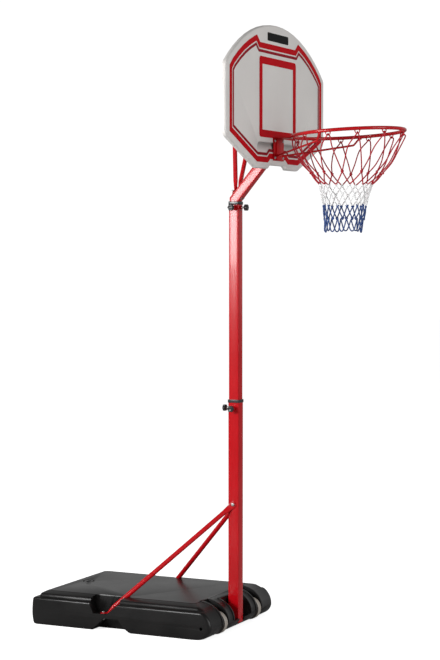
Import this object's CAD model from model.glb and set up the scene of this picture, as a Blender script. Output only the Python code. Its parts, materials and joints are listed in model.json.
"""The looks of a portable basketball stand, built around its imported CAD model.

Blender 4.5, metres, +Z up. The hoop faces -Y and the ballast tank reaches back towards +Y.
"""

import json
import math
import random

import bmesh
import bpy
from mathutils import Matrix, Vector

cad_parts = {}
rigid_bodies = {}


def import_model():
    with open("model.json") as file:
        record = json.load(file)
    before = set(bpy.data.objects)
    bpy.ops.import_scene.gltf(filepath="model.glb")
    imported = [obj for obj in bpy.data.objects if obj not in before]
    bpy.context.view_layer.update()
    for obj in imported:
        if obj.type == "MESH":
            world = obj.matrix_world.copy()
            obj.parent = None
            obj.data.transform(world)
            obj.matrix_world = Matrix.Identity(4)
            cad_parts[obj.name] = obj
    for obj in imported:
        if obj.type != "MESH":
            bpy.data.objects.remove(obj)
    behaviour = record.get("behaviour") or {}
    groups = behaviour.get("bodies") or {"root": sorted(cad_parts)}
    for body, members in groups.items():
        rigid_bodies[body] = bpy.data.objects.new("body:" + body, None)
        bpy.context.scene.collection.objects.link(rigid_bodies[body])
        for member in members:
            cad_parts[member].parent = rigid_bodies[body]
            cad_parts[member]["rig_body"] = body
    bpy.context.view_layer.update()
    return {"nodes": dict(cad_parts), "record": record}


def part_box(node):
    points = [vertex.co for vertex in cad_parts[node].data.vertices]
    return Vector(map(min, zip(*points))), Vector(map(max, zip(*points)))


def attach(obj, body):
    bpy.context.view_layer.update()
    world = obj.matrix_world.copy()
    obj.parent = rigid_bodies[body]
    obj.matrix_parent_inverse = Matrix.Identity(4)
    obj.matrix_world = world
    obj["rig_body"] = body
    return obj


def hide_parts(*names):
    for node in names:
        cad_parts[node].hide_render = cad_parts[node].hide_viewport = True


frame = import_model()

# Studio: the camera stands to the left of the hoop's front at chest height, as in the photograph.
# The floor and the room are plain and white. A tall softbox at the left rear gives the long soft
# reflection on the poles, a wide one stands in front of the hoop, and the room adds its even light.
POLE_Y = sum(corner.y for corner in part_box("lower_pole")) / 2
CAMERA_FROM_POLE = (-6.6575, -3.0914, 1.5497)
CAMERA_TILT = 87.28
CAMERA_TURN = -64.6
CAMERA_LENS = 99.9
SOFTBOXES = {
    "tall_softbox": {
        "place": (-3.6, 1.66, 1.93), "aim": (0.0, POLE_Y, 1.75), "size": (1.5, 1.05), "power": 140.0,
    },
    "front_softbox": {
        "place": (-0.5, -6.0, 2.2), "aim": (0.0, 0.0, 1.3), "size": (3.0, 3.0), "power": 125.0,
    },
}
ROOM_LIGHT = {"backdrop": 1.05, "horizon": 0.62, "zenith": 0.12}
FLOOR_SIZE = 60.0
FLOOR_GLOW = 0.80
FLOOR_SHADE = 0.95
FLOOR_BOUNCE = 0.62


def camera_sees(tree, shown, otherwise, output):
    """Shows one shader to the camera, and another one to the light that goes round the room."""
    path = tree.nodes.new("ShaderNodeLightPath")
    either = tree.nodes.new("ShaderNodeMixShader")
    tree.links.new(path.outputs["Is Camera Ray"], either.inputs["Fac"])
    tree.links.new(otherwise, either.inputs[1])
    tree.links.new(shown, either.inputs[2])
    tree.links.new(either.outputs["Shader"], tree.nodes[output].inputs["Surface"])


bpy.ops.object.select_all(action="DESELECT")
bpy.ops.object.camera_add(
    location=(CAMERA_FROM_POLE[0], CAMERA_FROM_POLE[1] + POLE_Y, CAMERA_FROM_POLE[2]),
    rotation=(math.radians(CAMERA_TILT), 0.0, math.radians(CAMERA_TURN)),
)
camera = bpy.context.object
camera.data.lens = CAMERA_LENS
bpy.context.scene.camera = camera
bpy.context.scene.view_settings.view_transform = "Standard"

for name, box in SOFTBOXES.items():
    aim = Vector(box["aim"]) - Vector(box["place"])
    turn = aim.to_track_quat("-Z", "Y").to_euler()
    bpy.ops.object.light_add(type="AREA", location=box["place"], rotation=turn)
    light = bpy.context.object
    light.name = name
    light.data.shape = "RECTANGLE"
    light.data.size, light.data.size_y = box["size"]
    light.data.energy = box["power"]

room = bpy.data.worlds.new("white_room")
room.use_nodes = True
nodes, links = room.node_tree.nodes, room.node_tree.links
backdrop = nodes["Background"]
backdrop.inputs["Color"].default_value = (1.0, 1.0, 1.0, 1.0)
backdrop.inputs["Strength"].default_value = ROOM_LIGHT["backdrop"]
walls = nodes.new("ShaderNodeBackground")
facing = nodes.new("ShaderNodeTexCoord")
height = nodes.new("ShaderNodeSeparateXYZ")
brightness = nodes.new("ShaderNodeMapRange")
brightness.inputs["To Min"].default_value = ROOM_LIGHT["horizon"]
brightness.inputs["To Max"].default_value = ROOM_LIGHT["zenith"]
links.new(facing.outputs["Generated"], height.inputs["Vector"])
links.new(height.outputs["Z"], brightness.inputs["Value"])
links.new(brightness.outputs["Result"], walls.inputs["Strength"])
camera_sees(
    room.node_tree, backdrop.outputs["Background"], walls.outputs["Background"], "World Output",
)
bpy.context.scene.world = room

bpy.ops.mesh.primitive_plane_add(size=FLOOR_SIZE, location=(0.0, 0.0, 0.0))
floor = bpy.context.object
floor.name = "studio_floor"
lit_floor = bpy.data.materials.new("white_floor")
lit_floor.use_nodes = True
nodes, links = lit_floor.node_tree.nodes, lit_floor.node_tree.links
bounce = nodes.new("ShaderNodeBsdfDiffuse")
bounce.inputs["Color"].default_value = (FLOOR_BOUNCE, FLOOR_BOUNCE, FLOOR_BOUNCE, 1.0)
shade = nodes.new("ShaderNodeBsdfDiffuse")
shade.inputs["Color"].default_value = (FLOOR_SHADE, FLOOR_SHADE, FLOOR_SHADE, 1.0)
glow = nodes.new("ShaderNodeEmission")
glow.inputs["Strength"].default_value = FLOOR_GLOW
shown = nodes.new("ShaderNodeAddShader")
links.new(glow.outputs["Emission"], shown.inputs[0])
links.new(shade.outputs["BSDF"], shown.inputs[1])
camera_sees(
    lit_floor.node_tree, shown.outputs["Shader"], bounce.outputs["BSDF"], "Material Output",
)
floor.data.materials.append(lit_floor)


# Ballast tank: a hollow charcoal polyethylene box, blow moulded in one, with a rounded nose, a ledge
# round its raised top, two wheel slots, a slot for the pole's foot and a pocket on each side with an
# arch below, where the struts are bolted down. The axle runs across its nose.
TANK_HALF_WIDTH = 0.302
TANK_REAR = 0.779
TANK_NOSE = 0.031
TANK_NOSE_HEIGHT = 0.048
TANK_REAR_FOOT = 0.008
TANK_REAR_TOP = 0.009
TANK_FLAT_START = 0.030
TANK_HEIGHT = 0.132
TANK_LEDGE_HEIGHT = 0.111
TANK_LEDGE_RADIUS = 0.009
TANK_LEDGE_TURNS = (22.5, 45.0, 67.5, 90.0)
TANK_TOP_START = 0.075
TANK_BOTTOM_EDGE = 0.005
TANK_CORNERS = {"front": 0.018, "rear": 0.014, "segments": 8}
TANK_WALL_HEIGHTS = (
    0.0015, 0.005, 0.010, 0.016, 0.023, 0.031, 0.040, 0.048, 0.058, 0.068, 0.078, 0.087, 0.094, 0.099, 0.102,
)
# Steps from the ledge to the top: each one's height, and how far in from the sides and the rear.
TANK_RISER = (
    (0.1112, 0.0150, 0.0241), (0.1125, 0.0162, 0.0253), (0.1180, 0.0185, 0.0276),
    (0.1228, 0.0207, 0.0298), (0.1246, 0.0225, 0.0316), (0.1256, 0.0255, 0.0330),
    (0.1300, 0.0490, 0.0398), (0.1309, 0.0530, 0.0420), (0.1311, 0.0550, 0.0433),
    (0.1300, 0.0565, 0.0448), (0.1300, 0.0590, 0.0466), (0.1312, 0.0605, 0.0480),
    (0.1318, 0.0630, 0.0498), (0.1320, 0.0680, 0.0533),
)
TANK_RISER_STEP = 0.001
TANK_EDGES = {"width": 0.0030, "segments": 3, "angle": 38.0}
TANK_SMOOTH = 40.0
CUT_AHEAD = -0.1
CUT_BELOW = -0.05
CUT_ABOVE = 0.2
CUT_BESIDE = 0.02
CUT_OVERLAP = 0.01
WHEEL_TRACK = 0.3225
WHEEL_SLOT = {"half": 0.0225, "rear": 0.058, "corner": 0.019, "lip": 0.010}
POLE_SLOT = {"half": 0.080, "rear": 0.032, "floor": 0.040, "corner": 0.012, "lip": 0.008}
POLE_SOCKET = {"half": 0.023, "floor": 0.018}
LIP_PROUD = 0.0028
LIP_FOOT = 0.045
LIP_CORNER_SHARE = 0.6
LIP_STRETCH_START = 0.100
POCKET_MOUTH = ((0.430, 0.067), (0.490, 0.067), (0.510, 0.111), (0.510, 0.160), (0.377, 0.160),
                (0.377, 0.111))
POCKET_HEAD = ((0.430, 0.132), (0.490, 0.132), (0.510, 0.136), (0.510, 0.160), (0.377, 0.160),
               (0.377, 0.136))
POCKET_INNER = {"head": 0.234, "floor": 0.254}
NUT_RECESS = {"place": (0.280, 0.4535), "low": 0.030, "high": 0.0505, "radius": 0.010}
ARCH_INNER = 0.240
ARCH_PROFILE = ((0.3225, -0.02), (0.4965, -0.02), (0.4965, 0.0), (0.4765, 0.020), (0.443, 0.050),
                (0.376, 0.050), (0.354, 0.020), (0.3225, 0.0))
AXLE_HEIGHT = 0.047
AXLE_Y = 0.009
AXLE_HOLE = {"inner": 0.27, "outer": 0.32, "radius": 0.0065}
FILLER_Y = 0.680
FILLER_CUTS = ({"radius": 0.025, "depth": 0.007}, {"radius": 0.0165, "depth": 0.090})
FILLER_CUT_TOP = 0.16
FILLER_SIDES = 48
TANK_SPECULAR = 0.30
POCKET_DULL_SPECULAR = 0.02
# The dull inside of the pockets: centres, axes, and the distances at which the zone starts to end
# and has ended.
POCKET_DULL_ZONE = (
    ((0.0, 0.0, 0.0), (1.0, 0.0, 0.0), 0.262, 0.268),
    ((0.0, POLE_Y + 0.4435, 0.0), (0.0, 1.0, 0.0), 0.070, 0.072),
    ((0.0, 0.0, 0.095), (0.0, 0.0, 1.0), 0.0335, 0.0350),
)
STRUT_BENDS = ((0.0243, 0.0109, 0.4897), (0.2726, 0.4404, 0.0688))
STRUT_RELIEF = {"radius": 0.013, "short_of_bend": 0.034}
CORNER_SEGMENTS = 5
MERGE_DISTANCE = 0.00001
COAT_ROUGHNESS = 0.06
PATCH_DETAIL = 4.0
PATCH_STOPS = (0.35, 0.65)
GRAIN_DETAIL = 3.0
RELIEF_STRENGTH = 0.5


def surface(name, colours, patch, roughness, grain, relief, metallic=0.0, specular=0.5, coat=0.0):
    """A material with patches between two colours, uneven gloss and a fine relief."""
    made = bpy.data.materials.new(name)
    made.use_nodes = True
    nodes, links = made.node_tree.nodes, made.node_tree.links
    shader = nodes["Principled BSDF"]
    shader.inputs["Metallic"].default_value = metallic
    shader.inputs["Specular IOR Level"].default_value = specular
    shader.inputs["Coat Weight"].default_value = coat
    shader.inputs["Coat Roughness"].default_value = COAT_ROUGHNESS
    place = nodes.new("ShaderNodeTexCoord").outputs["Object"]

    patches = nodes.new("ShaderNodeTexNoise")
    patches.inputs["Scale"].default_value = patch
    patches.inputs["Detail"].default_value = PATCH_DETAIL
    links.new(place, patches.inputs["Vector"])
    ramp = nodes.new("ShaderNodeValToRGB")
    for stop, position, colour in zip(ramp.color_ramp.elements, PATCH_STOPS, colours):
        stop.position = position
        stop.color = (*colour, 1.0)
    links.new(patches.outputs["Fac"], ramp.inputs["Fac"])
    links.new(ramp.outputs["Color"], shader.inputs["Base Color"])

    gloss = nodes.new("ShaderNodeMapRange")
    gloss.inputs["To Min"].default_value = roughness[0]
    gloss.inputs["To Max"].default_value = roughness[1]
    links.new(patches.outputs["Fac"], gloss.inputs["Value"])
    links.new(gloss.outputs["Result"], shader.inputs["Roughness"])

    fine = nodes.new("ShaderNodeTexNoise")
    fine.inputs["Scale"].default_value = grain
    fine.inputs["Detail"].default_value = GRAIN_DETAIL
    links.new(place, fine.inputs["Vector"])
    bump = nodes.new("ShaderNodeBump")
    bump.inputs["Strength"].default_value = RELIEF_STRENGTH
    bump.inputs["Distance"].default_value = relief
    links.new(fine.outputs["Fac"], bump.inputs["Height"])
    links.new(bump.outputs["Normal"], shader.inputs["Normal"])
    return made


def rounded(corners, segments):
    """A flat closed outline from (x, y, radius) corners, counter-clockwise."""
    outline = []
    for i, (x, y, radius) in enumerate(corners):
        here = Vector((x, y))
        before = (Vector(corners[i - 1][:2]) - here).normalized()
        after = (Vector(corners[(i + 1) % len(corners)][:2]) - here).normalized()
        half = before.angle(after) / 2
        centre = here + (before + after).normalized() * radius / math.sin(half)
        start = here + before * radius / math.tan(half) - centre
        end = here + after * radius / math.tan(half) - centre
        turn = math.atan2(start.x * end.y - start.y * end.x, start.dot(end))
        for k in range(segments + 1):
            outline.append(centre + Matrix.Rotation(turn * k / segments, 2) @ start)
    return outline


def picked(obj, *others):
    """Selects only these objects and makes the first one active."""
    bpy.ops.object.select_all(action="DESELECT")
    for each in (obj, *others):
        each.select_set(True)
    bpy.context.view_layer.objects.active = obj


def extruded(name, rings, filled=True):
    """A primitive circle set to the first ring of points and extruded from ring to ring."""
    count = len(rings[0])
    bpy.ops.object.select_all(action="DESELECT")
    bpy.ops.mesh.primitive_circle_add(vertices=count, fill_type="NGON" if filled else "NOTHING")
    obj = bpy.context.object
    obj.name = name
    for vertex, place in zip(obj.data.vertices, rings[0]):
        vertex.co = place
    bpy.ops.object.mode_set(mode="EDIT")
    bpy.ops.mesh.select_all(action="SELECT")
    for ring, next_ring in zip(rings, rings[1:]):
        bpy.ops.mesh.extrude_region_move()
        mesh = bmesh.from_edit_mesh(obj.data)
        for vertex in [v for v in mesh.verts if v.select]:
            nearest = min(range(count), key=lambda i: (ring[i] - vertex.co).length_squared)
            vertex.co = next_ring[nearest]
        bmesh.update_edit_mesh(obj.data)
    bpy.ops.mesh.select_all(action="SELECT")
    bpy.ops.mesh.remove_doubles(threshold=MERGE_DISTANCE)
    bpy.ops.mesh.normals_make_consistent(inside=False)
    bpy.ops.object.mode_set(mode="OBJECT")
    return obj


def block(name, low, high, corner=0.0):
    """A cube between two corners, its upright edges rounded."""
    low, high = Vector(low), Vector(high)
    bpy.ops.object.select_all(action="DESELECT")
    bpy.ops.mesh.primitive_cube_add(size=1.0, location=(low + high) / 2)
    obj = bpy.context.object
    obj.name = name
    obj.scale = high - low
    bpy.ops.object.transform_apply(location=True, rotation=False, scale=True)
    if corner > 0.0:
        bpy.ops.object.mode_set(mode="EDIT")
        mesh = bmesh.from_edit_mesh(obj.data)
        for edge in mesh.edges:
            ends = edge.verts
            edge.select = abs(ends[0].co.z - ends[1].co.z) > (high.z - low.z) / 2
        bmesh.update_edit_mesh(obj.data)
        bpy.ops.mesh.bevel(offset=corner, segments=CORNER_SEGMENTS, affect="EDGES")
        bpy.ops.object.mode_set(mode="OBJECT")
    return obj


def rod(name, start, end, radius, sides=32):
    """A cylinder between two points."""
    start, end = Vector(start), Vector(end)
    bpy.ops.object.select_all(action="DESELECT")
    bpy.ops.mesh.primitive_cylinder_add(
        vertices=sides, radius=radius, depth=(end - start).length, location=(start + end) / 2,
        rotation=(end - start).to_track_quat("Z", "Y").to_euler(),
    )
    obj = bpy.context.object
    obj.name = name
    bpy.ops.object.transform_apply(location=True, rotation=True, scale=True)
    return obj


def use_modifier(obj, kind, **settings):
    """Adds a modifier with its settings and applies it."""
    picked(obj)
    modifier = obj.modifiers.new(kind.lower(), kind)
    for setting, value in settings.items():
        setattr(modifier, setting, value)
    bpy.ops.object.modifier_apply(modifier=modifier.name)


def bevelled(obj, width, segments, angle):
    """Rounds the edges that turn by more than an angle in degrees."""
    use_modifier(obj, "BEVEL", width=width, segments=segments, limit_method="ANGLE",
                 angle_limit=math.radians(angle))


def cut(obj, *tools, operation="DIFFERENCE"):
    """Cuts the tools out of a piece, or joins them to it, and takes them away."""
    for tool in tools:
        use_modifier(obj, "BOOLEAN", operation=operation, solver="EXACT", object=tool)
        bpy.data.objects.remove(tool, do_unlink=True)


def smoothed(obj, angle):
    """Shades a piece smooth over the edges that turn by less than an angle in degrees."""
    picked(obj)
    bpy.ops.object.shade_smooth_by_angle(angle=math.radians(angle))


def finished(obj, material, body, slot, *nodes):
    """Gives a piece its material, body and slot, and the CAD node that it stands for."""
    obj.data.materials.clear()
    obj.data.materials.append(material)
    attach(obj, body)
    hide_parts(*nodes)
    return obj


def ramped(material, value, low, high):
    """An output socket that goes from 0 to 1 while a value goes from low to high."""
    ramp = material.node_tree.nodes.new("ShaderNodeMapRange")
    ramp.inputs["From Min"].default_value = low
    ramp.inputs["From Max"].default_value = high
    material.node_tree.links.new(value, ramp.inputs["Value"])
    return ramp.outputs["Result"]


def distance_from(material, centre, ways):
    """An output socket with the distance from a centre, counted along some of the axes only."""
    nodes, links = material.node_tree.nodes, material.node_tree.links
    place = nodes.new("ShaderNodeTexCoord").outputs["Object"]
    for operation, value in (("SUBTRACT", centre), ("MULTIPLY", ways)):
        step = nodes.new("ShaderNodeVectorMath")
        step.operation = operation
        step.inputs[1].default_value = value
        links.new(place, step.inputs[0])
        place = step.outputs["Vector"]
    reach = nodes.new("ShaderNodeVectorMath")
    reach.operation = "LENGTH"
    links.new(place, reach.inputs[0])
    return reach.outputs["Value"]


def product(material, factors):
    """An output socket with the product of several output sockets."""
    result = factors[0]
    for factor in factors[1:]:
        both = material.node_tree.nodes.new("ShaderNodeMath")
        both.operation = "MULTIPLY"
        material.node_tree.links.new(result, both.inputs[0])
        material.node_tree.links.new(factor, both.inputs[1])
        result = both.outputs["Value"]
    return result


def tank_outline(side_inset, rear_inset, front):
    half = TANK_HALF_WIDTH - side_inset
    rear = TANK_REAR - rear_inset
    return rounded([
        (-half, front, TANK_CORNERS["front"]), (half, front, TANK_CORNERS["front"]),
        (half, rear, TANK_CORNERS["rear"]), (-half, rear, TANK_CORNERS["rear"]),
    ], TANK_CORNERS["segments"])


def tank_nose(z):
    """How far forward the rounded nose reaches at a height."""
    start, height = TANK_FLAT_START, TANK_NOSE_HEIGHT
    share = (height - z) / height
    if z > height:
        start, height = TANK_TOP_START, TANK_HEIGHT - TANK_NOSE_HEIGHT
        share = (z - TANK_NOSE_HEIGHT) / height
    return start - (TANK_NOSE + start) * math.sqrt(max(0.0, 1.0 - share * share))


def rear_lean(z):
    """How far the bulging rear wall leans in at a height."""
    if z < TANK_NOSE_HEIGHT:
        return TANK_REAR_FOOT * (1.0 - z / TANK_NOSE_HEIGHT) ** 2
    return TANK_REAR_TOP * ((z - TANK_NOSE_HEIGHT) / (TANK_HEIGHT - TANK_NOSE_HEIGHT)) ** 2


foot_front = tank_nose(0.0) + TANK_BOTTOM_EDGE / 2
stations = [(0.0, TANK_BOTTOM_EDGE, TANK_BOTTOM_EDGE + TANK_REAR_FOOT, foot_front)]
for z in TANK_WALL_HEIGHTS:
    tuck = max(0.0, TANK_BOTTOM_EDGE - z) ** 2 / TANK_BOTTOM_EDGE
    stations.append((z, tuck, tuck + rear_lean(z), tank_nose(z)))
for turn in TANK_LEDGE_TURNS:
    angle = math.radians(turn)
    z = TANK_LEDGE_HEIGHT - TANK_LEDGE_RADIUS * (1.0 - math.sin(angle))
    round_off = TANK_LEDGE_RADIUS * (1.0 - math.cos(angle))
    stations.append((z, round_off, round_off + rear_lean(z), tank_nose(z)))
front = stations[-1][3]
for z, side, rear in TANK_RISER:
    front = max(front + TANK_RISER_STEP, tank_nose(z))
    stations.append((z, side, rear, front))
tank = extruded("moulded_tank", [
    [Vector((p.x, p.y, z)) for p in tank_outline(side, rear, front)] for z, side, rear, front in stations
])

lips = tank.copy()
lips.data = tank.data.copy()
bpy.context.scene.collection.objects.link(lips)
for vertex in lips.data.vertices:
    ahead = max(0.0, LIP_STRETCH_START - vertex.co.y)
    vertex.co.y -= LIP_PROUD * ahead / (LIP_STRETCH_START + TANK_NOSE)
    vertex.co.z *= 1.0 + LIP_PROUD / TANK_HEIGHT
slots = [(side * WHEEL_TRACK / 2, WHEEL_SLOT) for side in (-1, 1)] + [(0.0, POLE_SLOT)]
zones = []
for middle, slot in slots:
    half = slot["half"] + slot["lip"]
    zones.append(block(
        "lip_zone", (middle - half, CUT_AHEAD, LIP_FOOT),
        (middle + half, slot["rear"] + slot["lip"], CUT_ABOVE),
        slot["corner"] + slot["lip"] * LIP_CORNER_SHARE,
    ))
zone = zones.pop(0)
cut(zone, *zones, operation="UNION")
cut(lips, zone, operation="INTERSECT")
cut(tank, lips, operation="UNION")

tools = []
for middle, slot in slots:
    half = slot["half"]
    low = (middle - half, CUT_AHEAD, slot.get("floor", CUT_BELOW))
    tools.append(block("front_slot", low, (middle + half, slot["rear"], CUT_ABOVE), slot["corner"]))
half = POLE_SOCKET["half"]
low = (-half, CUT_AHEAD, POLE_SOCKET["floor"])
tools.append(block("pole_socket", low, (half, half, POLE_SLOT["floor"] + CUT_OVERLAP)))
outside = TANK_HALF_WIDTH + CUT_BESIDE
pocket = ((POCKET_INNER["head"], POCKET_HEAD), (POCKET_INNER["floor"], POCKET_MOUTH), (outside, POCKET_MOUTH))
arch = ((ARCH_INNER, ARCH_PROFILE), (outside, ARCH_PROFILE))
for side in (-1, 1):
    for sections in (pocket, arch):
        tools.append(extruded("side_cut", [
            [Vector((side * x, y, z)) for y, z in outline] for x, outline in sections
        ]))
    x, y = NUT_RECESS["place"]
    tools.append(rod("nut_recess", (side * x, y, NUT_RECESS["low"]), (side * x, y, NUT_RECESS["high"]),
                     NUT_RECESS["radius"]))
    upper, lower = (Vector((side * x, y, z)) for x, y, z in STRUT_BENDS)
    along = (lower - upper).normalized()
    tools.append(rod("strut_relief", upper, lower - along * STRUT_RELIEF["short_of_bend"],
                     STRUT_RELIEF["radius"]))
    tools.append(rod("axle_hole", (side * AXLE_HOLE["inner"], AXLE_Y, AXLE_HEIGHT),
                     (side * AXLE_HOLE["outer"], AXLE_Y, AXLE_HEIGHT), AXLE_HOLE["radius"]))
for filler in FILLER_CUTS:
    tools.append(rod("filler_cut", (0.0, FILLER_Y, TANK_HEIGHT - filler["depth"]),
                     (0.0, FILLER_Y, FILLER_CUT_TOP), filler["radius"], FILLER_SIDES))
cut(tank, *tools)
bevelled(tank, **TANK_EDGES)
tank.data.transform(Matrix.Translation((0.0, POLE_Y, 0.0)))
smoothed(tank, TANK_SMOOTH)
tank_plastic = surface(
    "charcoal_polyethylene", ((0.0045, 0.0042, 0.0042), (0.0085, 0.008, 0.0078)), 9.0, (0.25, 0.34),
    grain=14.0, relief=0.0007, specular=TANK_SPECULAR,
)
nodes, links = tank_plastic.node_tree.nodes, tank_plastic.node_tree.links
in_pocket = product(tank_plastic, [
    ramped(tank_plastic, distance_from(tank_plastic, centre, ways), high, low)
    for centre, ways, low, high in POCKET_DULL_ZONE
])
dulled = nodes.new("ShaderNodeMapRange")
dulled.inputs["To Min"].default_value = TANK_SPECULAR
dulled.inputs["To Max"].default_value = POCKET_DULL_SPECULAR
links.new(in_pocket, dulled.inputs["Value"])
links.new(dulled.outputs["Result"], nodes["Principled BSDF"].inputs["Specular IOR Level"])
finished(tank, tank_plastic, "stand", "base_plastic", "base_tank")


# Filler bung: a black push-in cap with a finger grip, injection moulded. It sits on a soft flat
# rubber seal over the filler neck, in the round recess of the tank's top.
CAP_EDGE = 0.0008
EDGE_SEGMENTS = 2
FLAT_ANGLE = 0.5
black_plastic = surface(
    "black_injection_plastic", ((0.012, 0.012, 0.013), (0.022, 0.022, 0.023)), 30.0, (0.22, 0.36),
    grain=700.0, relief=0.0002,
)
seal_rubber = surface("seal_rubber", ((0.02, 0.02, 0.02), (0.035, 0.035, 0.035)), 60.0, (0.6, 0.8),
                      grain=900.0, relief=0.0002)


def dressed(node, name, material, rounding=0.0, angle=35.0):
    """A smooth-shaded copy of a CAD node with its edges rounded, which stands for the node."""
    original = frame["nodes"][node]
    slot = next(part["material_slot"] for part in frame["record"]["subparts"] if part["node"] == node)
    mesh = original.data.copy()
    mesh.name = name
    copy = bpy.data.objects.new(name, mesh)
    bpy.context.scene.collection.objects.link(copy)
    picked(copy)
    bpy.ops.object.mode_set(mode="EDIT")
    bpy.ops.mesh.select_all(action="SELECT")
    bpy.ops.mesh.remove_doubles(threshold=MERGE_DISTANCE)
    bpy.ops.mesh.dissolve_limited(angle_limit=math.radians(FLAT_ANGLE))
    bpy.ops.object.mode_set(mode="OBJECT")
    if rounding > 0.0:
        bevelled(copy, rounding, EDGE_SEGMENTS, angle)
    smoothed(copy, angle)
    return finished(copy, material, original["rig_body"], slot, node)


dressed("filler_cap", "filler_bung", black_plastic, CAP_EDGE)
dressed("filler_seal", "filler_gasket", seal_rubber)


# Wheels: moulded in dark grey-brown plastic, with a grooved tread that is worn pale, round shoulders
# and six ribs on each side of the web. They turn on the axle, in the slots of the tank's nose.
# The outline of half a wheel, as radii and distances from its middle plane.
WHEEL_PROFILE = (
    (0.0440, 0.0007), (0.0450, 0.0014), (0.0450, 0.0036), (0.0440, 0.0043), (0.0440, 0.0058),
    (0.0450, 0.0065), (0.0450, 0.0095), (0.0443, 0.0116), (0.0430, 0.0136), (0.0412, 0.0147),
    (0.0396, 0.0150), (0.0332, 0.0150), (0.0323, 0.0143), (0.0317, 0.0040), (0.0303, 0.0036),
    (0.0130, 0.0036), (0.0122, 0.0046), (0.0118, 0.0183), (0.0108, 0.0190), (0.0060, 0.0190),
    (0.0053, 0.0183),
)
WHEEL_SIDES = 64
WHEEL_RIBS = 6
WHEEL_RIB = ((-0.0125, -0.0011, 0.0115), (0.0125, 0.0011, 0.0328))
WHEEL_SMOOTH = 30.0
WEAR_RADIUS = 0.0436
WEAR_EDGE = 0.0004
WEAR_COLOUR = (0.46, 0.42, 0.37)
wheel_plastic = surface(
    "grey_brown_wheel_plastic", ((0.036, 0.028, 0.024), (0.075, 0.06, 0.052)), 22.0, (0.32, 0.5),
    grain=500.0, relief=0.0003,
)


def overlaid(material, factor, colour):
    """Lays a second colour over a material's own, by a factor's output socket."""
    nodes, links = material.node_tree.nodes, material.node_tree.links
    base = nodes["Principled BSDF"].inputs["Base Color"]
    over = nodes.new("ShaderNodeMix")
    over.data_type = "RGBA"
    over.inputs[7].default_value = (*colour, 1.0)
    links.new(factor, over.inputs["Factor"])
    links.new(base.links[0].from_socket, over.inputs[6])
    links.new(over.outputs[2], base)


def joined(name, parts):
    """Joins pieces into the first one."""
    picked(*parts)
    bpy.ops.object.join()
    parts[0].name = name
    return parts[0]


def around_x(radius, x):
    turns = [2.0 * math.pi * k / WHEEL_SIDES for k in range(WHEEL_SIDES)]
    return [Vector((x, radius * math.cos(a), radius * math.sin(a))) for a in turns]


from_axle = distance_from(wheel_plastic, (0.0, POLE_Y + AXLE_Y, AXLE_HEIGHT), (0.0, 1.0, 1.0))
worn = ramped(wheel_plastic, from_axle, WEAR_RADIUS - WEAR_EDGE, WEAR_RADIUS + WEAR_EDGE)
overlaid(wheel_plastic, worn, WEAR_COLOUR)
for name, side in (("left", -1), ("right", 1)):
    profile = list(WHEEL_PROFILE) + [(radius, -x) for radius, x in reversed(WHEEL_PROFILE)]
    profile.append(profile[0])
    parts = [extruded("tread", [around_x(radius, x) for radius, x in profile], filled=False)]
    for k in range(WHEEL_RIBS):
        rib = block("rib", *WHEEL_RIB)
        rib.data.transform(Matrix.Rotation(2.0 * math.pi * k / WHEEL_RIBS, 4, "X"))
        parts.append(rib)
    wheel = joined("moulded_wheel_" + name, parts)
    wheel.data.transform(Matrix.Translation((side * WHEEL_TRACK / 2, POLE_Y + AXLE_Y, AXLE_HEIGHT)))
    smoothed(wheel, WHEEL_SMOOTH)
    finished(wheel, wheel_plastic, name + "_wheel", "wheel_plastic", "wheel_" + name)


# Axle, pole foot and lower pole: a zinc-plated rod through the tank, both wheels and the foot of the
# pole, a black plug in the pole's foot, and the lower square tube in red gloss powder coat.
AXLE_EDGE = 0.0008
GUIDE_EDGE = 0.0007
BOSS_EDGE = 0.0006
zinc = surface("zinc_plate", ((0.36, 0.35, 0.345), (0.50, 0.49, 0.48)), 120.0, (0.26, 0.42),
               grain=1500.0, relief=0.00015, metallic=1.0)
red_paint = surface("red_powder_coat", ((0.49, 0.003, 0.007), (0.54, 0.005, 0.010)), 6.0, (0.18, 0.23),
                    grain=160.0, relief=0.00003, specular=0.25, coat=0.15)
dressed("wheel_axle", "axle_rod", zinc, AXLE_EDGE)
dressed("pole_foot_plug", "foot_plug", black_plastic, BOSS_EDGE)
dressed("lower_pole", "lower_tube", red_paint)
dressed("lower_collar", "lower_guide", black_plastic, GUIDE_EDGE)
for where in ("side", "rear"):
    dressed("clamp_nut_lower_" + where, "lower_" + where + "_boss", red_paint, BOSS_EDGE)


# Struts: two round red tubes, pressed flat at both ends, bolted through the lower pole above and
# into the tank's side pockets below.
TUBE_EDGES = {"rounding": 0.0004, "angle": 50.0}
BOLT_EDGE = 0.0004
for side in ("left", "right"):
    dressed("strut_" + side, "strut_tube_" + side, red_paint, **TUBE_EDGES)
    dressed("strut_base_bolt_" + side, "pocket_bolt_" + side, zinc, BOLT_EDGE)
    dressed("strut_base_nut_" + side, "pocket_nut_" + side, zinc, BOLT_EDGE)
dressed("strut_pole_bolt", "strut_bolt", zinc, BOLT_EDGE)
dressed("strut_pole_nut", "strut_nut", zinc, BOLT_EDGE)


# Upper pole: the sliding square tube, red like the lower one, with a black guide moulded to fit its
# mouth. The two threaded bosses of its clamps are welded on.
dressed("upper_pole", "upper_tube", red_paint)
dressed("upper_collar", "upper_guide", black_plastic, GUIDE_EDGE)
for where in ("side", "front"):
    dressed("clamp_nut_upper_" + where, "upper_" + where + "_boss", red_paint, BOSS_EDGE)


# Clamp knobs: four six-lobed black hand knobs, injection moulded on zinc-plated studs. The studs
# turn in the welded bosses and press on the inner tubes.
KNOB_LOBES = 6
KNOB_LOBE_DEPTH = 0.0022
KNOB_SIDES = 72
KNOB_SMOOTH = 40.0
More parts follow.
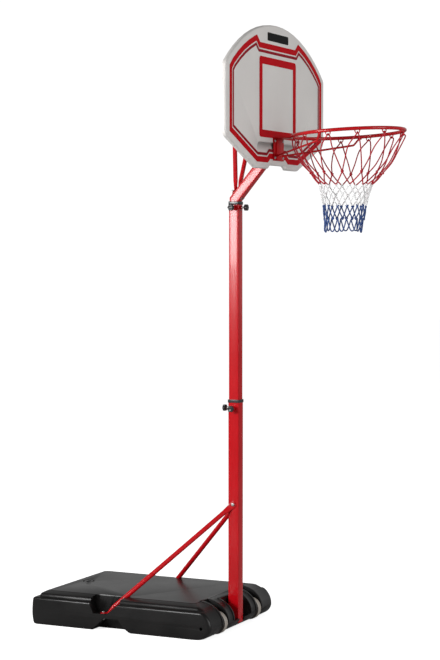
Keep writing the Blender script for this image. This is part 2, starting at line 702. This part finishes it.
# Rings from the knob's back to its front: radius, height, and the share of the lobes' depth.
KNOB_PROFILE = (
    (0.0052, 0.0, 0.0), (0.0090, 0.0, 0.0), (0.0098, 0.0006, 0.1), (0.0126, 0.0018, 0.8),
    (0.0136, 0.0030, 1.0), (0.0140, 0.0048, 1.0), (0.0140, 0.0108, 1.0), (0.0136, 0.0128, 1.0),
    (0.0126, 0.0141, 0.9), (0.0108, 0.0149, 0.7), (0.0088, 0.0150, 0.3), (0.0074, 0.0146, 0.0),
    (0.0060, 0.0138, 0.0),
)
CLAMPS = {"lower_side": (-1, 0), "lower_rear": (0, 1), "upper_side": (-1, 0), "upper_front": (0, -1)}
for where, direction in CLAMPS.items():
    rings = []
    for radius, along, lobed in KNOB_PROFILE:
        ring = []
        for k in range(KNOB_SIDES):
            turn = 2.0 * math.pi * k / KNOB_SIDES
            reach = radius - KNOB_LOBE_DEPTH * (1.0 - math.cos(KNOB_LOBES * turn)) / 2 * lobed
            ring.append(Vector((reach * math.cos(turn), reach * math.sin(turn), along)))
        rings.append(ring)
    knob = extruded("hand_knob_" + where, rings)
    low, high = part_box("knob_" + where)
    middle = (low + high) / 2
    out = Vector((*direction, 0.0))
    back = middle - out * abs((high - low).dot(out)) / 2
    knob.data.transform(Matrix.Translation(back) @ out.to_track_quat("Z", "Y").to_matrix().to_4x4())
    smoothed(knob, KNOB_SMOOTH)
    body = frame["nodes"]["knob_" + where]["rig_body"]
    finished(knob, black_plastic, body, "black_plastic", "knob_" + where)
    dressed("stem_" + where, "clamp_stud_" + where, zinc, BOLT_EDGE)


# Neck and braces: a red square tube that leans forward to its welded plate behind the board, and
# two bent red tubes with pressed ends, bolted on the neck's rear face and screwed to the board.
PLATE_EDGE = 0.0005
SMALL_BOLT_EDGE = 0.0003
dressed("neck", "leaning_neck", red_paint)
dressed("neck_plate", "mounting_plate", red_paint, PLATE_EDGE)
for side in ("left", "right"):
    dressed("brace_" + side, "brace_tube_" + side, red_paint, **TUBE_EDGES)
    dressed("brace_board_screw_" + side, "brace_screw_" + side, zinc, SMALL_BOLT_EDGE)
    dressed("brace_bolt_" + side, "neck_bolt_" + side, zinc, SMALL_BOLT_EDGE)
    dressed("brace_nut_" + side, "neck_nut_" + side, zinc, SMALL_BOLT_EDGE)


# Backboard: moulded in light warm grey plastic with a rounded rim and ribs behind, and a soft
# shallow scoop in its face round the rim bracket, deepest under the target frame.
FACE_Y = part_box("backboard")[0].y
BRACKET_MIDDLE = sum(corner.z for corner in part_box("rim_bracket")) / 2
SCOOP_HALF_WIDTH = 0.200
SCOOP_TOP = 0.0255
SCOOP_BOTTOM = -0.0165
SCOOP_CORNER = 0.026
SCOOP_DEPTH = 0.0090
SCOOP_BACK = {"margin": 0.006, "from": 0.002, "to": 0.0135}
SCOOP_SHADE = (0.24, 0.225, 0.215)
SCOOP_SHADE_LIMITS = (
    ((0.0, 1.0, 0.0), 0.0012, 0.0085),
    ((0.0, 1.0, 0.0), 0.0112, 0.0100),
    ((0.0, 0.0, 1.0), SCOOP_TOP, SCOOP_TOP - 0.002),
    ((1.0, 0.0, 0.0), SCOOP_HALF_WIDTH + 0.001, SCOOP_HALF_WIDTH),
)
SCOOP_CORNER_SEGMENTS = 6
# Rings of the scoop: inset, share of its depth, and how far in front of the face.
SCOOP_STEPS = (
    (0.0, 0.0, 0.0022), (0.0, 0.0, 0.0002), (0.0010, 0.10, 0.0), (0.0022, 0.45, 0.0),
    (0.0036, 0.80, 0.0), (0.0056, 0.96, 0.0), (0.0090, 1.0, 0.0),
)
SCOOP_MIDDLE = (0.0, FACE_Y, BRACKET_MIDDLE + (SCOOP_TOP + SCOOP_BOTTOM) / 2)
BOARD_SMOOTH = 32.0
board_plastic = surface("warm_grey_board", ((0.74, 0.715, 0.69), (0.79, 0.765, 0.74)), 4.0, (0.38, 0.5),
                        grain=650.0, relief=0.0002, specular=0.4)
in_scoop = product(board_plastic, [
    ramped(board_plastic, distance_from(board_plastic, SCOOP_MIDDLE, ways), low, high)
    for ways, low, high in SCOOP_SHADE_LIMITS
])
overlaid(board_plastic, in_scoop, SCOOP_SHADE)
board = dressed("backboard", "moulded_board", board_plastic)
margin = SCOOP_BACK["margin"]
cut(board, block(
    "scoop_back",
    (-SCOOP_HALF_WIDTH - margin, FACE_Y + SCOOP_BACK["from"], BRACKET_MIDDLE + SCOOP_BOTTOM - margin),
    (SCOOP_HALF_WIDTH + margin, FACE_Y + SCOOP_BACK["to"], BRACKET_MIDDLE + SCOOP_TOP + margin),
), operation="UNION")
scoop_rings = []
for inset, share, ahead in SCOOP_STEPS:
    half = SCOOP_HALF_WIDTH - inset
    low, high = SCOOP_BOTTOM + inset / 2, SCOOP_TOP - inset
    corner = SCOOP_CORNER - inset
    flat = rounded([
        (-half, low, corner / 2), (half, low, corner / 2), (half, high, corner), (-half, high, corner),
    ], SCOOP_CORNER_SEGMENTS)
    ring = []
    for p in flat:
        fall = (p.y - SCOOP_BOTTOM) / (SCOOP_TOP - SCOOP_BOTTOM)
        ring.append(Vector((p.x, FACE_Y + share * SCOOP_DEPTH * fall - ahead, BRACKET_MIDDLE + p.y)))
    scoop_rings.append(ring)
cut(board, extruded("scoop", scoop_rings))
smoothed(board, BOARD_SMOOTH)


# Stripes: red printed film on the board's face. The wide band and the target square are bright red,
# the thin line inside the band is darker, and the small plate at the top is plain black.
# The ink spreads a little past the outlines of the films.
INK_SPREAD = {"border_band": 0.0008, "border_line": 0.0020, "target_frame": 0.0035, "label_plate": 0.0}


def printed(node, film, spread):
    """A copy of a flat film, widened in its plane on every edge, which stands for the node."""
    copy = dressed(node, "printed_" + node, film)
    depths = [vertex.co.y for vertex in copy.data.vertices]
    bpy.ops.object.mode_set(mode="EDIT")
    bpy.ops.mesh.select_all(action="SELECT")
    bpy.ops.transform.shrink_fatten(value=spread, use_even_offset=True)
    bpy.ops.object.mode_set(mode="OBJECT")
    for vertex, depth in zip(copy.data.vertices, depths):
        vertex.co.y = depth


film_red = surface("bright_red_film", ((0.50, 0.0010, 0.006), (0.54, 0.0015, 0.009)), 14.0, (0.45, 0.55),
                   grain=800.0, relief=0.0001, specular=0.04)
film_dark = surface("dark_red_film", ((0.27, 0.0015, 0.010), (0.31, 0.002, 0.013)), 14.0, (0.45, 0.55),
                    grain=800.0, relief=0.0001, specular=0.1)
film_black = surface("black_film", ((0.004, 0.0045, 0.0045), (0.008, 0.0085, 0.0085)), 20.0, (0.4, 0.5),
                     grain=900.0, relief=0.0001, specular=0.05)
films = {
    "border_band": film_red, "border_line": film_dark, "target_frame": film_red, "label_plate": film_black,
}
for node, spread in INK_SPREAD.items():
    printed(node, films[node], spread)


# Rim bracket and its bolts: a steel angle painted red, with a proud pressed channel down its middle
# between the two rows of bolts that clamp it through the board to the mounting plate.
CHANNEL_HALF_WIDTH = 0.0280
CHANNEL_PROUD = 0.0050
CHANNEL_STEEL = 0.0030
CHANNEL_FOOT = 0.001
CHANNEL_BEND = {"width": 0.003, "segments": 4}
BRACKET_EDGE = 0.0006
BRACKET_SMOOTH = 40.0
bracket_low, bracket_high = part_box("rim_bracket")
bracket_front = bracket_high.y - CHANNEL_STEEL
satin_red = surface("satin_red_paint", ((0.46, 0.002, 0.006), (0.51, 0.003, 0.008)), 6.0, (0.34, 0.42),
                    grain=160.0, relief=0.00003, specular=0.10)
bracket = dressed("rim_bracket", "rim_angle", satin_red, BRACKET_EDGE)
channel = block(
    "pressed_channel",
    (-CHANNEL_HALF_WIDTH, bracket_front - CHANNEL_PROUD, bracket_low.z + CHANNEL_FOOT),
    (CHANNEL_HALF_WIDTH, bracket_front + CHANNEL_STEEL / 2, bracket_high.z - CHANNEL_STEEL / 2),
)
bevelled(channel, **CHANNEL_BEND, angle=BRACKET_SMOOTH)
cut(bracket, channel, operation="UNION")
smoothed(bracket, BRACKET_SMOOTH)
for corner in ("lower_left", "lower_right", "upper_left", "upper_right"):
    dressed("rim_bolt_" + corner, "bracket_bolt_" + corner, zinc, SMALL_BOLT_EDGE)
    dressed("rim_nut_" + corner, "bracket_nut_" + corner, zinc, SMALL_BOLT_EDGE)


# Ring: a red steel rod bent to a hoop and butt welded, with twelve wire hooks for the net welded
# below it and two thin rod stays that run from the bracket's foot to the hoop's underside.
RING_REACH = 0.299625
RING_TILT = math.radians(3.36)
RING_RADIUS = 0.218
RING_REAR_RISE = 0.0435
RING_RISE = RING_REAR_RISE + RING_RADIUS * math.sin(RING_TILT)
RING_ROD = 0.007
RING_SEGMENTS = {"major_segments": 160, "minor_segments": 18}
RING_SMOOTH = 45.0
HOOKS = 12
HOOK_WIRE = 0.002
HOOK_INSET = 0.003
HOOK_DROP = 0.018
HOOK_HALF_WIDTH = 0.009
# A hook's outline, in shares of its half width and its drop.
HOOK_BOW = (
    (-1.0, -0.1), (-1.0, -0.62), (-0.62, -0.97), (0.0, -1.0), (0.62, -0.97), (1.0, -0.62), (1.0, -0.1),
)
HOOK_BENDS = {"radius": 0.005, "steps": 4}
BEND_LIMIT = 2.1
HOOK_RESOLUTION = 3
STAY_RADIUS = 0.004
STAY_FOOT = (0.024, -0.0041, -0.026)
STAY_BEND = (0.190, -0.247, 0.020)
STAY_ANGLE = math.radians(8.7)
STAY_BENDS = {"radius": 0.014, "steps": 8}
STAY_RESOLUTION = 4
WELD_SIZES = {"hook": 0.0030, "stay_foot": 0.0055, "stay_top": 0.0056}
WELD_UNEVEN = 0.14
WELD_SINK = 0.0002
WELD_INSET = 0.001
board_frame = Matrix.Translation((0.0, FACE_Y, BRACKET_MIDDLE))
ring_middle = Matrix.Translation((0.0, -RING_REACH, RING_RISE))
ring_frame = board_frame @ ring_middle @ Matrix.Rotation(-RING_TILT, 4, "X")


def softened(points, radius, steps):
    """A line of points with each inner corner turned on an arc."""
    points = [Vector(p) for p in points]
    line = [points[0]]
    for before, here, after in zip(points, points[1:], points[2:]):
        back, on = (before - here).normalized(), (after - here).normalized()
        half = back.angle(on) / 2
        shorter = min((before - here).length, (after - here).length)
        reach = min(radius / math.tan(half), shorter / BEND_LIMIT)
        start, end = here + back * reach, here + on * reach
        for k in range(steps + 1):
            t = k / steps
            line.append(start * (1 - t) ** 2 + here * 2 * t * (1 - t) + end * t ** 2)
    line.append(points[-1])
    return line


def bent_wires(name, lines, radius, resolution):
    """Round wires along lines of points, as one mesh."""
    curve = bpy.data.curves.new(name, "CURVE")
    curve.dimensions = "3D"
    curve.bevel_depth = radius
    curve.bevel_resolution = resolution
    curve.use_fill_caps = True
    for line in lines:
        spline = curve.splines.new("POLY")
        spline.points.add(len(line) - 1)
        for point, place in zip(spline.points, line):
            point.co = (*place, 1.0)
    obj = bpy.data.objects.new(name, curve)
    bpy.context.scene.collection.objects.link(obj)
    picked(obj)
    bpy.ops.object.convert(target="MESH")
    return obj


def hook_ways(k):
    """The outward direction at a hook, and the direction along the hoop."""
    turn = 2.0 * math.pi * k / HOOKS
    return Vector((math.cos(turn), math.sin(turn), 0.0)), Vector((-math.sin(turn), math.cos(turn), 0.0))


def weld_bead(place, size):
    """A small uneven lump of weld."""
    bpy.ops.object.select_all(action="DESELECT")
    bpy.ops.mesh.primitive_ico_sphere_add(subdivisions=2, radius=size, location=place)
    bead = bpy.context.object
    bpy.ops.object.transform_apply(location=True, rotation=True, scale=True)
    for vertex in bead.data.vertices:
        vertex.co += (vertex.co - Vector(place)) * luck.uniform(-WELD_UNEVEN, WELD_UNEVEN)
    return bead


luck = random.Random(7)
bpy.ops.object.select_all(action="DESELECT")
bpy.ops.mesh.primitive_torus_add(major_radius=RING_RADIUS, minor_radius=RING_ROD, **RING_SEGMENTS)
hoop = bpy.context.object
hoop.data.transform(ring_frame)
parts = [hoop]
hook_lines = []
for k in range(HOOKS):
    out, along = hook_ways(k)
    foot = out * (RING_RADIUS - HOOK_INSET)
    bow = [foot + along * x * HOOK_HALF_WIDTH + Vector((0.0, 0.0, z * HOOK_DROP)) for x, z in HOOK_BOW]
    hook_lines.append([ring_frame @ p for p in softened(bow, **HOOK_BENDS)])
    for x in (-1, 1):
        place = foot + along * x * HOOK_HALF_WIDTH + Vector((0.0, 0.0, -RING_ROD + WELD_SINK))
        parts.append(weld_bead(ring_frame @ place, WELD_SIZES["hook"]))
parts.append(bent_wires("hook_wires", hook_lines, HOOK_WIRE, HOOK_RESOLUTION))
stay_lines = []
for side in (-1, 1):
    foot = board_frame @ Vector((side * STAY_FOOT[0], STAY_FOOT[1] - STAY_RADIUS / 2, STAY_FOOT[2]))
    bend = board_frame @ Vector((side * STAY_BEND[0], *STAY_BEND[1:]))
    out = Vector((side * math.cos(STAY_ANGLE), math.sin(STAY_ANGLE), 0.0))
    top = ring_frame @ (out * RING_RADIUS)
    stay_lines.append(softened([foot, bend, top], **STAY_BENDS))
    parts.append(weld_bead(foot, WELD_SIZES["stay_foot"]))
    seat = out * (RING_RADIUS - WELD_INSET) - Vector((0.0, 0.0, RING_ROD - WELD_INSET))
    parts.append(weld_bead(ring_frame @ seat, WELD_SIZES["stay_top"]))
parts.append(bent_wires("stay_rods", stay_lines, STAY_RADIUS, STAY_RESOLUTION))
rim = joined("welded_rim", parts)
smoothed(rim, RING_SMOOTH)
finished(rim, red_paint, "head", "red_paint", "rim_ring")


# Net: a hand-knotted tube of twisted three-strand nylon in three colours. Its top loops hang over
# the hooks' bows, its red top narrows to diamonds, and the blue bottom ends in loose round loops.
CORD_RADIUS = 0.0028
CORD_LAY = 0.014
CORD_STEP = 0.0017
NET_DROPS = (0.152, 0.200, 0.236, 0.281, 0.330, 0.379)
NET_RADII = (0.143, 0.103, 0.092, 0.080, 0.076, 0.0725)
NET_SHIFTS = (0.0090, 0.0112, 0.0134, 0.0156, 0.0178, 0.0200)
# Where the top cords bend on their way down: radius, drop, and share of the way round to the knot.
NET_SHOULDERS = ((0.203, 0.060, 0.42), (0.176, 0.112, 0.70))
KNOT_SIZE = 0.0030
KNOT_DEPTH = 0.9
KNOT_JITTER = (0.002, 0.002, 0.002, 0.003, 0.003, 0.004)
CURVE_STEPS = 16
KNOT_STEPS = 24
STRANDS = {"points": 9, "ridge": 1.02, "groove": 0.78}
CROWN_GAP = 0.0003
CROWN_WIDTH = 1.2
CROWN_RISE = 0.3
SHOULDER_SWAY = 0.002
MESH_BULGE = 0.0015
LOOP_ROW = 4
LOOP_LIFT = 0.010
LOOP_SPAN = 0.17
CORD_SMOOTH = 70.0
red_cord = surface("red_twisted_cord", ((0.40, 0.008, 0.020), (0.55, 0.014, 0.030)), 60.0, (0.55, 0.75),
                   grain=1400.0, relief=0.0004)
white_cord = surface("white_twisted_cord", ((0.86, 0.86, 0.86), (0.96, 0.96, 0.96)), 60.0, (0.6, 0.8),
                     grain=1400.0, relief=0.0001)
blue_cord = surface("navy_twisted_cord", ((0.018, 0.050, 0.18), (0.040, 0.095, 0.30)), 60.0, (0.55, 0.75),
                    grain=1400.0, relief=0.0004)


def net_knot(row, step):
    """A knot's place and its outward direction; steps count half meshes round the net."""
    turn = math.pi * step / HOOKS
    out = Vector((math.cos(turn), math.sin(turn), 0.0))
    centre = board_frame @ Vector((0.0, NET_SHIFTS[row] - RING_REACH, RING_RISE - NET_DROPS[row]))
    place = centre + out * NET_RADII[row]
    return place + jitter[row, step % (2 * HOOKS)], out


def through(points):
    """Even steps along a smooth curve through the points."""
    ends = [points[0] * 2 - points[1]] + points + [points[-1] * 2 - points[-2]]
    dense = [points[0]]
    for a, b, c, d in zip(ends, ends[1:], ends[2:], ends[3:]):
        for k in range(1, CURVE_STEPS + 1):
            t = k / CURVE_STEPS
            dense.append(0.5 * (2 * b + (c - a) * t + (2 * a - 5 * b + 4 * c - d) * t ** 2
                                + (3 * b - a - 3 * c + d) * t ** 3))
    line = [dense[0]]
    for p in dense[1:]:
        if (p - line[-1]).length > CORD_STEP:
            line.append(p)
    line[-1] = dense[-1]
    return line


def twisted_cords(name, lines):
    """Three-strand cord along each line: a three-lobed section that turns once in each lay."""
    profile = bpy.data.curves.new("lay_section", "CURVE")
    spline = profile.splines.new("POLY")
    spline.points.add(STRANDS["points"] - 1)
    spline.use_cyclic_u = True
    for k, point in enumerate(spline.points):
        turn = 2.0 * math.pi * k / STRANDS["points"]
        reach = CORD_RADIUS * STRANDS["ridge" if k % 3 else "groove"]
        point.co = (reach * math.cos(turn), reach * math.sin(turn), 0.0, 1.0)
    section = bpy.data.objects.new("lay_section", profile)
    bpy.context.scene.collection.objects.link(section)
    curve = bpy.data.curves.new(name, "CURVE")
    curve.dimensions = "3D"
    curve.bevel_mode = "OBJECT"
    curve.bevel_object = section
    curve.use_fill_caps = True
    for line in lines:
        spline = curve.splines.new("POLY")
        spline.points.add(len(line) - 1)
        travelled = 0.0
        for i, (point, place) in enumerate(zip(spline.points, line)):
            travelled += (place - line[i - 1]).length if i else 0.0
            point.co = (*place, 1.0)
            point.tilt = 2.0 * math.pi * travelled / CORD_LAY
    obj = bpy.data.objects.new(name, curve)
    bpy.context.scene.collection.objects.link(obj)
    picked(obj)
    bpy.ops.object.convert(target="MESH")
    bpy.data.objects.remove(section, do_unlink=True)
    return obj


def overhand(place, out):
    """The line of a small knot round a crossing of cords."""
    side = Vector((0.0, 0.0, 1.0)).cross(out)
    line = []
    for k in range(KNOT_STEPS + 1):
        t = 2.0 * math.pi * k / KNOT_STEPS
        across = math.sin(t) + 2.0 * math.sin(2.0 * t)
        up = math.cos(t) - 2.0 * math.cos(2.0 * t)
        off = side * across + Vector((0.0, 0.0, up)) - out * math.sin(3.0 * t) * KNOT_DEPTH
        line.append(place + off * KNOT_SIZE / 2)
    return line


jitter = {}
for row, reach in enumerate(KNOT_JITTER):
    for step in range(2 * HOOKS):
        jitter[row, step] = Vector([luck.uniform(-reach, reach) for _ in range(3)])

red_lines, white_lines, blue_lines = [], [], []
for k in range(HOOKS):
    out, along = hook_ways(k)
    foot = out * (RING_RADIUS - HOOK_INSET)
    bow = ring_frame @ (foot - Vector((0.0, 0.0, HOOK_DROP)))
    over = HOOK_WIRE + CORD_RADIUS + CROWN_GAP
    halves = {}
    for side in (-1, 1):
        below = (out * -side + Vector((0.0, 0.0, -CROWN_WIDTH))) * over
        points = [bow + below + along * side * over * CROWN_WIDTH]
        for radius, drop, share in NET_SHOULDERS:
            turn = 2.0 * math.pi * k / HOOKS + side * share * math.pi / HOOKS
            centre = board_frame @ Vector((0.0, NET_SHIFTS[0] - RING_REACH, RING_RISE - drop))
            sway = Vector([luck.uniform(-SHOULDER_SWAY, SHOULDER_SWAY) for _ in range(3)])
            points.append(centre + Vector((math.cos(turn), math.sin(turn), 0.0)) * radius + sway)
        points.append(net_knot(0, 2 * k + side)[0])
        halves[side] = points
    rise = Vector((0.0, 0.0, over * CROWN_RISE))
    crown = [bow + out * over + rise, bow + Vector((0.0, 0.0, over)), bow - out * over + rise]
    red_lines.append(through(halves[-1][::-1] + crown + halves[1]))

for row, lines in enumerate((red_lines, white_lines, white_lines, blue_lines, blue_lines)):
    for k in range(HOOKS):
        step = 2 * k + 1 - row % 2
        start, out = net_knot(row, step)
        lines.append(overhand(start, out))
        if row == LOOP_ROW:
            continue
        for side in (-1, 1):
            end, _ = net_knot(row + 1, step + side)
            bulge = (start + end) / 2 + out * MESH_BULGE + Vector((0.0, 0.0, -MESH_BULGE))
            lines.append(through([start, bulge, end]))
lift = Vector((0.0, 0.0, LOOP_LIFT / 2))
for step in range(1 - LOOP_ROW % 2, 2 * HOOKS, 2):
    tip, _ = net_knot(LOOP_ROW + 1, step)
    left, _ = net_knot(LOOP_ROW, step - 1)
    right, _ = net_knot(LOOP_ROW, step + 1)
    span = (right - left) * LOOP_SPAN
    blue_lines.append(through([
        left, (left + tip) / 2 - span / 2, tip - span + lift, tip, tip + span + lift,
        (right + tip) / 2 + span / 2, right,
    ]))

for colour, lines, material in (("red", red_lines, red_cord), ("white", white_lines, white_cord),
                                ("blue", blue_lines, blue_cord)):
    cords = twisted_cords("knotted_net_" + colour, lines)
    smoothed(cords, CORD_SMOOTH)
    finished(cords, material, "head", colour + "_cord", "net_" + colour)
